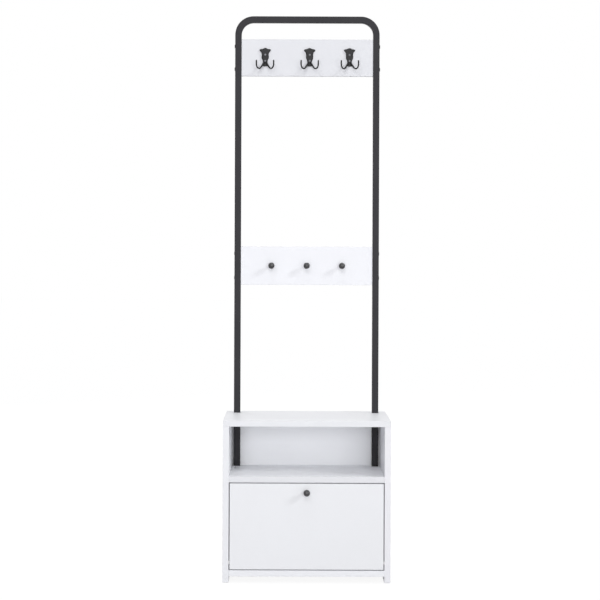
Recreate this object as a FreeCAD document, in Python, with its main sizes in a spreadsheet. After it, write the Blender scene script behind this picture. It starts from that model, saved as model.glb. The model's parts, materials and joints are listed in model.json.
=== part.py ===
import FreeCAD, Part
import math
import os
import re
import Sketcher

# Free-standing hall tree: a bent square-tube frame with a hook board and a peg board, standing in a small
# cabinet with an open niche and a tip-out bin. Millimetres, +Z up, front towards -Y, origin on the floor
# under the middle of the whole object.

V = FreeCAD.Vector

SIZES = {
    # cabinet
    "cabinet_width": 500,
    "cabinet_depth": 300,
    "cabinet_height": 484,
    "board": 18,
    "edge_round": 0.8,
    "glide_height": 2,
    "glide_width": 18,
    "glide_inset": 30,
    "toe_clearance": 20.5,
    "niche_height": 148.5,
    "back_board": 3,
    "groove_depth": 6,
    "groove_play": 0.2,
    "hole_play": 0.1,
    "bolt_play": 0.3,
    # tube frame
    "frame_height": 1725,
    "frame_width": 452,
    "tube": 20,
    "tube_wall": 1.2,
    "tube_corner": 2,
    "tube_bend": 48,
    "tube_setback": 40,
    "tube_play": 0.4,
    "sleeve_length": 110,
    "sleeve_wall": 1.5,
    "sleeve_play": 0.15,
    "plug_flange": 2,
    "plug_depth": 16,
    # boards between the tubes
    "rack_board": 15,
    "upper_board_drop": 72,
    "upper_board_height": 115,
    "lower_board_middle": 944.5,
    "lower_board_height": 120,
    "board_bolt_inset": 22,
    "board_bolt": 6,
    "bolt_reach": 13,
    "bolt_head_width": 12,
    "bolt_head_height": 2,
    "low_head_height": 1.2,
    "insert_wall": 1.2,
    "insert_length": 15,
    # hooks
    "hook_spacing": 132,
    "middle_hook_shift": 7,
    "hook_drop": 85,
    "hook_plate": 5,
    "hook_height": 58,
    "crown_width": 35,
    "crown_low": 44,
    "crown_throat": 3,
    "ear_high": 53,
    "crown_cap_width": 12,
    "crown_cap_low": 55,
    "body_width": 23,
    "body_low": 24,
    "body_high": 38,
    "stem_width": 14,
    "stem_low": 8,
    "stem_high": 18,
    "foot_width": 19,
    "foot_high": 3,
    "ear_bend": 7,
    "shoulder_bend": 6,
    "throat_bend": 8,
    "brow_bend": 15,
    "arm": 4.6,
    "arm_reach": 43,
    "arm_splay": 38.5,
    "arm_bowl": 12.5,
    "arm_root": 3,
    "arm_low": 9,
    "arm_tip": 14.5,
    "hook_screw": 3.5,
    "hook_screw_length": 16,
    "hook_screw_head": 7,
    "hook_screw_head_height": 2,
    "hook_screw_high": 36,
    "hook_screw_low": 17,
    # pegs and knob
    "peg_spacing": 110,
    "ball": 20,
    "knob_neck": 9,
    "knob_foot": 14,
    "knob_foot_height": 1.5,
    "knob_flare": 3,
    "knob_reach": 30,
    "knob_drop": 25.5,
    "knob_screw": 4,
    "knob_screw_bite": 12,
    "knob_bore_spare": 1,
    "knob_screw_head": 8,
    "knob_screw_head_height": 2.4,
    # tip-out bin
    "door_gap": 2.5,
    "bin_board": 12,
    "bin_clearance": 28,
    "bin_back_height": 80,
    "bin_lift": 2,
    "cheek_drop": 45.5,
    "cheek_top": 51,
    "pivot_rise": 20,
    "pivot_setback": 9,
    "pivot_pin": 6,
    "pin_bite": 30,
    "bush_wall": 1.5,
    "bush_length": 13,
    "bush_flange": 13,
    "bush_flange_height": 1.5,
    "running_play": 0.05,
    "stop_pin": 6,
    "stop_drop": 64.2,
    "stop_angle": 57,
    "open_angle": 45,
    "slot_play": 0.35,
    "stop_bite": 12,
    "bin_screw_inset": 40,
    # fasteners
    "cam_width": 15,
    "cam_drop": 24,
    "cam_front": 40,
    "cam_rear": 200,
    "cam_bolt": 5,
    "cam_bolt_bite": 10,
    "cam_channel": 7,
    "cam_head_play": 0.4,
    "cam_slot_length": 10,
    "cam_slot_width": 1.6,
    "cam_slot_depth": 2.25,
    "dowel": 8,
    "dowel_bite": 10,
    "dowel_front": 75,
    "dowel_rear": 165,
    "connector_front": 50,
    "connector_rear": 205,
    "connector_head": 10,
    "connector_head_height": 2.5,
    "connector_shank": 7,
    "connector_thread": 5,
    "connector_bite": 32,
    "bin_screw": 4,
    "bin_screw_head": 7.6,
    "bin_screw_head_height": 2,
    "bin_screw_length": 34,
    "bracket_leg": 20,
    "bracket_width": 16,
    "bracket_sheet": 2,
    "bracket_low": 45,
    "bracket_drop": 58,
    "small_screw": 3.5,
    "small_screw_length": 11,
    "small_screw_head": 7,
    "small_screw_head_height": 1.8,
    "nail": 1.6,
    "nail_length": 18,
    "nail_head": 4,
    "nail_head_height": 0.8,
    "nail_spacing": 130,
    "upright_screw": 5,
    "upright_screw_length": 10,
    "upright_screw_head": 10,
    "upright_screw_head_height": 3,
    "upright_screw_low": 35,
    "upright_screw_high": 115,
    "anchor_width": 40,
    "anchor_leg": 30,
    "anchor_sheet": 2,
    "anchor_hole": 5.5,
    "anchor_screw_spacing": 22,
}

# Places that follow from the sizes, as formulas of them.
PLACES = {
    "front": "-(cabinet_depth - knob_reach) / 2",
    "back": "front + cabinet_depth",
    "side_inner": "cabinet_width / 2 - board",
    "top_under": "cabinet_height - board",
    "side_height": "top_under - glide_height",
    "shelf_top": "top_under - niche_height",
    "shelf_under": "shelf_top - board",
    "base_top": "toe_clearance + board",
    "inner_width": "cabinet_width - 2 * board",
    "tube_back": "back - tube_setback",
    "tube_middle": "tube_back - tube / 2",
    "inner_depth": "cabinet_depth - tube_setback",
    "tube_side": "(frame_width - tube) / 2",
    "tube_inside": "tube - 2 * tube_wall",
    "seam": "lower_board_middle",
    "upright_low": "shelf_top + plug_flange",
    "upper_board_low": "frame_height - upper_board_drop - upper_board_height",
    "lower_board_low": "lower_board_middle - lower_board_height / 2",
    "rack_front": "tube_middle - rack_board / 2",
    "rack_length": "frame_width - 2 * tube",
    "bolt_hole": "board_bolt + bolt_play",
    "insert_width": "board_bolt + 2 * insert_wall",
    "upper_bolt_low": "upper_board_low + board_bolt_inset",
    "upper_bolt_high": "upper_board_low + upper_board_height - board_bolt_inset",
    "lower_bolt_low": "lower_board_low + board_bolt_inset",
    "lower_bolt_high": "lower_board_low + lower_board_height - board_bolt_inset",
    "hook_low": "frame_height - upper_board_drop - hook_drop",
    "bowl_out": "arm_reach - arm_bowl",
    "bowl_high": "arm_bowl - arm_low",
    "bowl_turn": "arm_bowl * cos(45)",
    "door_low": "base_top + door_gap",
    "door_height": "shelf_under - base_top - 2 * door_gap",
    "door_width": "inner_width - 2 * door_gap",
    "pivot_back": "front + pivot_setback",
    "bin_depth": "inner_depth - board - bin_clearance",
    "cheek_height": "door_height - bin_lift - cheek_drop",
    "bracket_high": "cheek_height - bracket_drop",
    "pivot_high": "door_low + pivot_rise",
    "door_rear": "board - pivot_setback",
    "bin_rear": "door_rear + bin_depth",
    "bin_low": "bin_lift - pivot_rise",
    "bin_inside": "door_width - 2 * bin_board",
    "stop_high": "bin_low + cheek_height - stop_drop",
    "stop_radius": "stop_high / sin(stop_angle)",
    "stop_back": "stop_radius * cos(stop_angle)",
    "bush_width": "pivot_pin + 2 * bush_wall",
    "cam_high": "top_under - cam_drop",
    "cam_depth": "(board + cam_channel) / 2",
    "knob_high": "door_low + door_height - knob_drop",
    "anchor_screw_back": "back - anchor_leg / 2 - anchor_sheet / 2",
}

doc = FreeCAD.newDocument("HallTree")
sheet = doc.addObject("Spreadsheet::Sheet", "Sizes")
for row, (alias, size) in enumerate(SIZES.items(), start=1):
    sheet.set(f"A{row}", alias)
    sheet.set(f"B{row}", str(size))
    sheet.setAlias(f"B{row}", alias)
doc.recompute()

nodes = {}


def formula(text):
    """A formula in the names above, as an expression on the spreadsheet."""

    def cell(match):
        word = match.group(0)
        if word in PLACES:
            return "(" + formula(PLACES[word]) + ")"
        return "Sizes." + word if word in SIZES else word

    return re.sub(r"[a-z_]+", cell, str(text))


def value(text):
    return float(sheet.evalExpression(formula(text)))


def bind(thing, **sizes):
    for name, text in sizes.items():
        thing.setExpression(name, formula(text))
    return thing


def place(thing, x, y, z, rotation=None):
    if rotation:
        thing.Placement = FreeCAD.Placement(V(0, 0, 0), rotation)
    for axis, text in zip("xyz", (x, y, z)):
        thing.setExpression("Placement.Base." + axis, formula(text))
    return thing


def node(label, thing):
    thing.Label = label
    nodes[label] = thing
    return thing


# ---- Part Design helpers

def new_body(label, x, y, z, rotation=None):
    return place(node(label, doc.addObject("PartDesign::Body", label)), x, y, z, rotation)


def role_plane(body, role):
    return next(f for f in body.Origin.OriginFeatures if f.Role == role)


def new_sketch(body, plane, offset="0", shift="0"):
    """A sketch on an origin plane of the body, offset along its normal and shifted along its first axis."""
    sketch = body.newObject("Sketcher::SketchObject", body.Label + "_sketch")
    sketch.AttachmentSupport = [(role_plane(body, plane), "")]
    sketch.MapMode = "FlatFace"
    sketch.setExpression("AttachmentOffset.Base.z", formula(offset))
    sketch.setExpression("AttachmentOffset.Base.x", formula(shift))
    return sketch


def constrain(sketch, kind, *where, size=None):
    if size is None:
        return sketch.addConstraint(Sketcher.Constraint(kind, *where))
    index = sketch.addConstraint(Sketcher.Constraint(kind, *where, value(size)))
    sketch.setExpression(f"Constraints[{index}]", formula(size))
    return index


def pin_point(sketch, geometry, point, x, y):
    """Holds a point of the sketch at x, y from the sketch's origin."""
    for kind, size in (("DistanceX", x), ("DistanceY", y)):
        if size == "0":
            axis = -2 if kind == "DistanceX" else -1
            constrain(sketch, "PointOnObject", geometry, point, axis)
        else:
            constrain(sketch, kind, -1, 1, geometry, point, size=size)


def circle(sketch, x, y, width):
    centre = V(value(x), value(y), 0)
    index = sketch.addGeometry(Part.Circle(centre, V(0, 0, 1), value(width) / 2))
    pin_point(sketch, index, 3, x, y)
    constrain(sketch, "Diameter", index, size=width)


def outline(sketch, points, closed=True):
    """Lines and arcs through points (x, y) or (x, y, radius): the radius bends the run that ends there, with
    its centre on the left of the run, or on the right where the radius starts with a minus sign."""
    corners = [V(value(p[0]), value(p[1]), 0) for p in points]
    runs = []
    for i in range(0 if closed else 1, len(points)):
        start, end = corners[i - 1], corners[i]
        if len(points[i]) == 2:
            index = sketch.addGeometry(Part.LineSegment(start, end))
            runs.append((index, 1, 2, i))
            continue
        right = points[i][2].startswith("-")
        radius = value(points[i][2].lstrip("-"))
        half = (end - start) * 0.5
        rise = math.sqrt(max(radius**2 - half.Length**2, 0.0))
        left = V(-half.y, half.x, 0).normalize()
        centre = start + half + left * (-rise if right else rise)
        first, last = (end, start) if right else (start, end)
        turn = [math.atan2(p.y - centre.y, p.x - centre.x) for p in (first, last)]
        arc = Part.ArcOfCircle(Part.Circle(centre, V(0, 0, 1), radius), turn[0], turn[1])
        index = sketch.addGeometry(arc)
        runs.append((index, 2, 1, i) if right else (index, 1, 2, i))
        constrain(sketch, "Radius", index, size=points[i][2].lstrip("-"))
    for (index, begin, _, _), (before, _, finish, _) in zip(runs, runs[-1:] + runs[:-1]):
        if closed or index != runs[0][0]:
            constrain(sketch, "Coincident", before, finish, index, begin)
    if not closed:
        pin_point(sketch, runs[0][0], runs[0][1], points[0][0], points[0][1])
    for index, _, finish, i in runs:
        pin_point(sketch, index, finish, points[i][0], points[i][1])


def rectangle(sketch, width, height, x="0", y="0"):
    right = f"{x} + {width}"
    top = f"{y} + {height}"
    outline(sketch, [(x, y), (right, y), (right, top), (x, top)])


def rounded_square(sketch, side, corner, x="0", y="0"):
    """A square about x, y with rounded corners."""
    reach = f"({side}) / 2"
    flat = f"(({side}) / 2 - ({corner}))"
    points = []
    for a, b in ((1, -1), (1, 1), (-1, 1), (-1, -1)):
        along = (f"{x} + {a} * {reach}", f"{y} + {b} * {flat}")
        across = (f"{x} + {a} * {flat}", f"{y} + {b} * {reach}")
        first, second = (across, along) if a * b < 0 else (along, across)
        points.append(first)
        points.append(second + (f"({corner})",))
    outline(sketch, points)


def pad(body, sketch, length, backwards=False):
    feature = body.newObject("PartDesign::Pad", body.Label + "_pad")
    feature.Profile = sketch
    feature.Reversed = backwards
    sketch.Visibility = False
    return bind(feature, Length=length)


def pocket(body, sketch, depth=None, backwards=False, both_ways=False):
    """Cuts against the sketch's normal, or along it when backwards; with no depth it goes right through."""
    feature = body.newObject("PartDesign::Pocket", body.Label + "_pocket")
    feature.Profile = sketch
    feature.Reversed = backwards
    if both_ways:
        feature.SideType = "Symmetric"
    if depth is None:
        feature.Type = "ThroughAll"
    else:
        bind(feature, Length=depth)
    return feature


def drill(body, plane, holes, width, depth=None, offset="0", backwards=False, both_ways=False):
    sketch = new_sketch(body, plane, offset)
    for x, y in holes:
        circle(sketch, x, y, width)
    return pocket(body, sketch, depth, backwards, both_ways)


def fillet_all(body, feature):
    """Rounds the twelve edges of a plain board."""
    rounding = body.newObject("PartDesign::Fillet", body.Label + "_round")
    rounding.Base = (feature, [f"Edge{n}" for n in range(1, 13)])
    return bind(rounding, Radius="edge_round")


def panel(label, plane, width, height, thickness, x, y, z):
    """A board with its lowest corner at x, y, z, drawn on an origin plane and padded to +X, +Y or +Z."""
    body = new_body(label, x, y, z)
    sketch = new_sketch(body, plane)
    rectangle(sketch, width, height)
    feature = pad(body, sketch, thickness, backwards=plane == "XZ_Plane")
    doc.recompute()
    fillet_all(body, feature)
    return body


def mirror_copy(source):
    """The same piece on the other side of the middle plane."""
    copy = doc.addObject("Part::Mirroring", "Mirror")
    copy.Source = source
    copy.Normal = V(1, 0, 0)
    return copy


def pair(name, source):
    """Names a piece of the left side, and makes its twin on the right."""
    node("left_" + name, source)
    node("right_" + name, mirror_copy(source))


def both_sides(parts):
    return parts + [mirror_copy(part) for part in parts]


# ---- fastener helpers

TURNS = {
    "+X": FreeCAD.Rotation(V(0, 1, 0), 90),
    "-X": FreeCAD.Rotation(V(0, 1, 0), -90),
    "+Y": FreeCAD.Rotation(V(1, 0, 0), -90),
    "-Y": FreeCAD.Rotation(V(1, 0, 0), 90),
    "+Z": FreeCAD.Rotation(),
    "-Z": FreeCAD.Rotation(V(1, 0, 0), 180),
}


def rod(direction, at, width, length):
    """A round bar that runs from a point along an axis."""
    bar = doc.addObject("Part::Cylinder", "Rod")
    bind(bar, Radius=f"({width}) / 2", Height=length)
    return place(bar, *at, rotation=TURNS[direction])


def opposite(direction):
    return ("-" if direction[0] == "+" else "+") + direction[1]


def fused(parts):
    whole = doc.addObject("Part::MultiFuse", "Fused")
    whole.Shapes = parts
    return whole


def cut(body, tool):
    piece = doc.addObject("Part::Cut", "Cut")
    piece.Base = body
    piece.Tool = tool
    return piece


def box(x, y, z, length, width, height):
    block = bind(doc.addObject("Part::Box", "Block"), Length=length, Width=width, Height=height)
    return place(block, x, y, z)


def screw(direction, at, thread, length, head, head_height):
    """A screw whose head stands on the surface at a point, and whose shank runs on from there."""
    head_part = rod(opposite(direction), at, head, head_height)
    return fused([rod(direction, at, thread, length), head_part])


def group(label, parts):
    """Identical pieces as separate solids of one node."""
    compound = doc.addObject("Part::Compound", label)
    compound.Links = parts
    return node(label, compound)


# ---- cabinet

def top_panel():
    body = panel("top_panel", "XY_Plane", "cabinet_width", "cabinet_depth", "board",
                 "-cabinet_width / 2", "front", "top_under")
    openings = new_sketch(body, "XY_Plane")
    for side in ("-", "+"):
        rounded_square(openings, "tube + 2 * tube_play", "tube_corner + tube_play",
                       f"cabinet_width / 2 {side} tube_side", "tube_middle - front")
    pocket(body, openings, backwards=True)
    seats = ["board / 2", "cabinet_width - board / 2"]
    cams = [(x, y) for x in seats for y in ("cam_front", "cam_rear")]
    drill(body, "XY_Plane", cams, "cam_bolt + hole_play", "cam_bolt_bite + hole_play", backwards=True)
    dowels = [(x, y) for x in seats for y in ("dowel_front", "dowel_rear")]
    drill(body, "XY_Plane", dowels, "dowel + hole_play", "dowel_bite + hole_play", backwards=True)
    screws = [(f"cabinet_width / 2 {side} anchor_screw_spacing / 2", "anchor_screw_back - front")
              for side in ("-", "+")]
    drill(body, "XY_Plane", screws, "small_screw + hole_play", "small_screw_length", backwards=True)


def side_panel():
    body = panel("left_side", "YZ_Plane", "cabinet_depth", "side_height", "board",
                 "-cabinet_width / 2", "front", "glide_height")
    groove = new_sketch(body, "YZ_Plane", "board")
    rectangle(groove, "back_board + groove_play", "side_height - toe_clearance + glide_height + board",
              "inner_depth - groove_play / 2", "toe_clearance - glide_height")
    pocket(body, groove, "groove_depth + groove_play")
    cams = [(y, "cam_high - glide_height") for y in ("cam_front", "cam_rear")]
    drill(body, "YZ_Plane", cams, "cam_width + hole_play", "cam_depth", "board")
    tops = [("board / 2", y) for y in ("cam_front", "cam_rear")]
    drill(body, "XY_Plane", tops, "cam_channel", "cam_drop", "side_height")
    dowels = [("board / 2", y) for y in ("dowel_front", "dowel_rear")]
    drill(body, "XY_Plane", dowels, "dowel + hole_play", "dowel_bite + hole_play", "side_height")
    rows = ("shelf_top - board / 2 - glide_height", "base_top - board / 2 - glide_height")
    connectors = [(y, z) for z in rows for y in ("connector_front", "connector_rear")]
    drill(body, "YZ_Plane", connectors, "connector_shank + hole_play", backwards=True)
    drill(body, "YZ_Plane", connectors, "connector_head + hole_play", "connector_head_height", backwards=True)
    glides = [("board / 2", y) for y in ("glide_inset", "cabinet_depth - glide_inset")]
    drill(body, "XY_Plane", glides, "nail + hole_play", "nail_length", backwards=True)
    drill(body, "YZ_Plane", [("pivot_setback", "pivot_high - glide_height")],
          "bush_width + hole_play", "bush_length + hole_play", "board")
    stop = ("pivot_setback + stop_back", "pivot_high + stop_high - glide_height")
    drill(body, "YZ_Plane", [stop], "stop_pin + hole_play", "stop_bite + hole_play", "board")
    return body


def cross_board(label, z):
    """A board between the sides, bored at both ends for the connector screws."""
    body = panel(label, "XY_Plane", "inner_width", "inner_depth", "board", "-inner_width / 2", "front", z)
    ends = [(y, "board / 2") for y in ("connector_front", "connector_rear")]
    depth = "connector_bite + hole_play"
    drill(body, "YZ_Plane", ends, "connector_thread + hole_play", depth, backwards=True)
    drill(body, "YZ_Plane", ends, "connector_thread + hole_play", depth, "inner_width")
    nails = [(f"inner_width / 2 + {n} * nail_spacing", "board / 2") for n in (-1, 0, 1)]
    drill(body, "XZ_Plane", nails, "nail + hole_play", "nail_length", "-inner_depth", backwards=True)


def back_panel():
    body = new_body("back_panel", "-inner_width / 2 - groove_depth", "tube_back", "toe_clearance")
    sketch = new_sketch(body, "XZ_Plane")
    rectangle(sketch, "inner_width + 2 * groove_depth", "top_under - toe_clearance")
    pad(body, sketch, "back_board", backwards=True)
    middle = "inner_width / 2 + groove_depth"
    nails = [(f"{middle} + {n} * nail_spacing", z) for n in (-1, 0, 1)
             for z in ("board / 2", "shelf_top - board / 2 - toe_clearance")]
    drill(body, "XZ_Plane", nails, "nail + hole_play")
    screws = [(f"{middle} {side} tube_side", f"shelf_top + {height} - toe_clearance")
              for side in ("-", "+") for height in ("upright_screw_low", "upright_screw_high")]
    drill(body, "XZ_Plane", screws, "upright_screw + hole_play")


# ---- tube frame

def ring(body, side, wall, corner, shift="0"):
    sketch = new_sketch(body, "XY_Plane", shift=shift)
    rounded_square(sketch, side, corner)
    rounded_square(sketch, f"({side}) - 2 * ({wall})", f"({corner}) / 2")
    return sketch


def upper_frame():
    body = new_body("upper_frame", "0", "tube_middle", "seam")
    section = ring(body, "tube", "tube_wall", "tube_corner", "-tube_side")
    path = new_sketch(body, "XZ_Plane")
    high = "(frame_height - tube / 2 - seam)"
    outline(path, [("-tube_side", "0"), ("-tube_side", f"{high} - tube_bend"),
                   ("tube_bend - tube_side", high, "-tube_bend"), ("tube_side - tube_bend", high),
                   ("tube_side", f"{high} - tube_bend", "-tube_bend"), ("tube_side", "0")], closed=False)
    doc.recompute()
    sweep = body.newObject("PartDesign::AdditivePipe", "upper_frame_sweep")
    sweep.Profile = section
    sweep.Spine = (path, [f"Edge{n}" for n in range(1, 6)])
    bolts = [("0", f"{z} - seam") for z in ("upper_bolt_low", "upper_bolt_high", "lower_bolt_high")]
    drill(body, "YZ_Plane", bolts, "bolt_hole", both_ways=True)


def lower_upright():
    body = new_body("left_lower_upright", "-tube_side", "tube_middle", "upright_low")
    section = ring(body, "tube", "tube_wall", "tube_corner")
    pad(body, section, "seam - upright_low")
    drill(body, "YZ_Plane", [("0", "lower_bolt_low - upright_low")], "bolt_hole", both_ways=True)
    screws = [("0", f"{z} - plug_flange") for z in ("upright_screw_low", "upright_screw_high")]
    drill(body, "XZ_Plane", screws, "upright_screw + hole_play", "tube")
    return body


def joint_sleeve():
    body = new_body("left_joint_sleeve", "-tube_side", "tube_middle", "seam - sleeve_length / 2")
    section = ring(body, "tube_inside - 2 * sleeve_play", "sleeve_wall", "tube_corner / 2")
    pad(body, section, "sleeve_length")
    bolts = [("0", f"{z} - seam + sleeve_length / 2") for z in ("lower_bolt_low", "lower_bolt_high")]
    drill(body, "YZ_Plane", bolts, "bolt_hole", both_ways=True)
    return body


def upright_plug():
    body = new_body("left_upright_plug", "-tube_side", "tube_middle", "shelf_top")
    flange = new_sketch(body, "XY_Plane")
    rounded_square(flange, "tube", "tube_corner")
    pad(body, flange, "plug_flange")
    stem = new_sketch(body, "XY_Plane", "plug_flange")
    rounded_square(stem, "tube_inside - 2 * sleeve_play", "tube_corner / 2")
    pad(body, stem, "plug_depth")
    return body


# ---- boards between the tubes

def rack_board(label, low, height, bolt_rows, face_holes, face_hole_width, face_hole_depth=None):
    """A board with an insert bore at each bolt, and holes in its face for what hangs there."""
    body = panel(label, "XZ_Plane", "rack_length", height, "rack_board",
                 "-rack_length / 2", "rack_front", low)
    bolts = [("rack_board / 2", f"{z} - {low}") for z in bolt_rows]
    bore = "insert_width + hole_play"
    drill(body, "YZ_Plane", bolts, bore, "insert_length + hole_play", backwards=True)
    drill(body, "YZ_Plane", bolts, bore, "insert_length + hole_play", "rack_length")
    holes = [(f"rack_length / 2 + ({x})", f"{z} - {low}") for x, z in face_holes]
    drill(body, "XZ_Plane", holes, face_hole_width, face_hole_depth)


HOOKS = {"left": "-hook_spacing", "middle": "middle_hook_shift", "right": "hook_spacing"}
PEGS = {"left": "-peg_spacing", "middle": "0", "right": "peg_spacing"}
HOOK_SCREWS = ("hook_screw_high", "hook_screw_low")


def hook_arm(body, side, turn):
    """One arm, swept down from its tip, round its bowl and up to the plate, with a dome on the tip."""
    path = new_sketch(body, "XZ_Plane")
    path.AttachmentOffset = FreeCAD.Placement(V(0, 0, 0), FreeCAD.Rotation(V(0, -1, 0), 1))
    path.setExpression("AttachmentOffset.Rotation.Angle", formula(turn))
    outline(path, [("arm_reach", "arm_tip"), ("arm_reach", "bowl_high"),
                   ("bowl_out - bowl_turn", "bowl_high - bowl_turn", "-arm_bowl"),
                   ("arm_root", "bowl_high + bowl_out - 2 * bowl_turn - arm_root")], closed=False)
    tip = (f"{side}arm_reach * sin(arm_splay)", "-arm_reach * cos(arm_splay)")
    section = new_sketch(body, "XY_Plane", "arm_tip")
    circle(section, *tip, "arm")
    doc.recompute()
    arm = body.newObject("PartDesign::AdditivePipe", body.Label + "_arm")
    arm.Profile = section
    arm.Spine = (path, ["Edge1", "Edge2", "Edge3"])
    dome = body.newObject("PartDesign::AdditiveSphere", body.Label + "_dome")
    dome.AttachmentSupport = [(role_plane(body, "XY_Plane"), "")]
    dome.MapMode = "FlatFace"
    bind(dome, Radius="arm / 2")
    for axis, text in zip("xyz", tip + ("arm_tip",)):
        dome.setExpression("AttachmentOffset.Base." + axis, formula(text))
    doc.recompute()


def hook(label, x):
    """A cast double hook: a crowned plate with a stem, and two arms that splay forward and curl up."""
    body = new_body(label, x, "rack_front", "hook_low")
    half = [
        ("foot_width / 2", "foot_high", "foot_width"),
        ("stem_width / 2", "stem_low"),
        ("stem_width / 2", "stem_high"),
        ("body_width / 2", "body_low", "shoulder_bend"),
        ("body_width / 2", "body_high"),
        ("crown_width / 2 - crown_throat", "crown_low", "-throat_bend"),
        ("crown_width / 2", "ear_high", "ear_bend"),
        ("crown_cap_width / 2", "crown_cap_low", "-brow_bend"),
        ("0", "hook_height", "ear_bend"),
    ]
    plate = new_sketch(body, "XZ_Plane")
    other_half = [(f"-({p[0]})", p[1]) + q[2:] for p, q in zip(half[-2::-1], half[:0:-1])]
    outline(plate, [("0", "0") + half[0][2:]] + half + other_half)
    pad(body, plate, "hook_plate")
    doc.recompute()
    for side, turn in (("", "90 - arm_splay"), ("-", "90 + arm_splay")):
        hook_arm(body, side, turn)
    drill(body, "XZ_Plane", [("0", z) for z in HOOK_SCREWS], "hook_screw + hole_play", both_ways=True)


def knob(label, x, y, z):
    """A turned ball knob, drawn as a profile on its axis and turned to face the front."""
    body = new_body(label, x, y, z, TURNS["-Y"])
    profile = new_sketch(body, "XZ_Plane")
    ball_start = "knob_reach - ball / 2 - sqrt(ball * ball - knob_neck * knob_neck) / 2"
    outline(profile, [("0", "0"), ("knob_foot / 2", "0"), ("knob_foot / 2", "knob_foot_height"),
                      ("knob_neck / 2", "knob_foot_height + knob_flare"), ("knob_neck / 2", ball_start),
                      ("0", "knob_reach", "ball / 2")])
    turned = body.newObject("PartDesign::Revolution", label + "_turned")
    turned.Profile = profile
    turned.ReferenceAxis = (profile, ["V_Axis"])
    turned.Angle = 360
    drill(body, "XY_Plane", [("0", "0")], "knob_screw + hole_play", "knob_screw_bite + knob_bore_spare",
          backwards=True)


# ---- tip-out bin

def arc_slot(sketch, radius, width, low_angle, high_angle):
    """A round-ended slot along an arc about the sketch's origin."""
    middle = value(radius)
    half = value(width) / 2
    low, high = (math.radians(value(a)) for a in (low_angle, high_angle))
    ends = [V(middle * math.cos(a), middle * math.sin(a), 0) for a in (low, high)]
    up = V(0, 0, 1)
    outer = sketch.addGeometry(Part.ArcOfCircle(Part.Circle(V(), up, middle + half), low, high))
    top = sketch.addGeometry(Part.ArcOfCircle(Part.Circle(ends[1], up, half), high, high + math.pi))
    inner = sketch.addGeometry(Part.ArcOfCircle(Part.Circle(V(), up, middle - half), low, high))
    bottom = sketch.addGeometry(Part.ArcOfCircle(Part.Circle(ends[0], up, half), low + math.pi, low))
    for arc, size in ((outer, f"{radius} + ({width}) / 2"), (inner, f"{radius} - ({width}) / 2")):
        constrain(sketch, "Coincident", arc, 3, -1, 1)
        constrain(sketch, "Radius", arc, size=size)
    for first, second in (((outer, 2), (top, 1)), ((top, 2), (inner, 2)), ((inner, 1), (bottom, 1)),
                          ((bottom, 2), (outer, 1))):
        constrain(sketch, "Tangent", *first, *second)
    for arc, end, angle in ((bottom, ends[0], low_angle), (top, ends[1], high_angle)):
        ray = sketch.addGeometry(Part.LineSegment(V(), end), True)
        constrain(sketch, "Coincident", ray, 1, -1, 1)
        constrain(sketch, "Coincident", ray, 2, arc, 3)
        index = constrain(sketch, "Angle", ray, size=angle)
        sketch.setExpression(f"Constraints[{index}]", formula(f"({angle}) * 1 deg"))


BRACKETS = ("bin_low + bracket_low", "bin_low + bracket_high")
BIN_SCREWS = [("door_rear + bin_screw_inset", "bin_low + bin_board / 2"),
              ("bin_rear - bin_board - bin_screw_inset", "bin_low + bin_board / 2"),
              ("bin_rear - bin_board / 2", "bin_low + bin_board + bin_screw_inset")]


def door_panel():
    body = panel("door_panel", "XZ_Plane", "door_width", "door_height", "board",
                 "-door_width / 2", "front", "door_low")
    drill(body, "XZ_Plane", [("door_width / 2", "knob_high - door_low")], "knob_screw + hole_play")
    pin = [("pivot_setback", "pivot_rise")]
    drill(body, "YZ_Plane", pin, "pivot_pin + hole_play", "pin_bite", backwards=True)
    drill(body, "YZ_Plane", pin, "pivot_pin + hole_play", "pin_bite", "door_width")
    out = "(bin_inside / 2 - bracket_leg / 2 - bracket_sheet)"
    screws = [(f"door_width / 2 {side} {out}", f"{z} + pivot_rise") for side in ("-", "+") for z in BRACKETS]
    drill(body, "XZ_Plane", screws, "small_screw + hole_play", "small_screw_length", "-board", backwards=True)


def bin_cheek():
    """A side of the bin, drawn about the pivot, with the arc slot that the stop pin runs in."""
    body = new_body("bin_left_cheek", "-door_width / 2", "pivot_back", "pivot_high")
    profile = new_sketch(body, "YZ_Plane")
    top = "bin_low + cheek_height"
    outline(profile, [("door_rear", "bin_low"), ("bin_rear", "bin_low"),
                      ("bin_rear", "bin_low + bin_back_height"), ("door_rear + cheek_top", top),
                      ("door_rear", top)])
    pad(body, profile, "bin_board")
    slot = new_sketch(body, "YZ_Plane")
    arc_slot(slot, "stop_radius", "stop_pin + 2 * slot_play", "stop_angle - open_angle", "stop_angle")
    pocket(body, slot, backwards=True)
    drill(body, "YZ_Plane", BIN_SCREWS, "bin_screw + hole_play", backwards=True)
    drill(body, "YZ_Plane", BIN_SCREWS, "bin_screw_head + hole_play", "bin_screw_head_height", backwards=True)
    screws = [("door_rear + bracket_leg / 2 + bracket_sheet", z) for z in BRACKETS]
    drill(body, "YZ_Plane", screws, "small_screw + hole_play", "small_screw_length - bracket_sheet",
          "bin_board")
    return body


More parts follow.
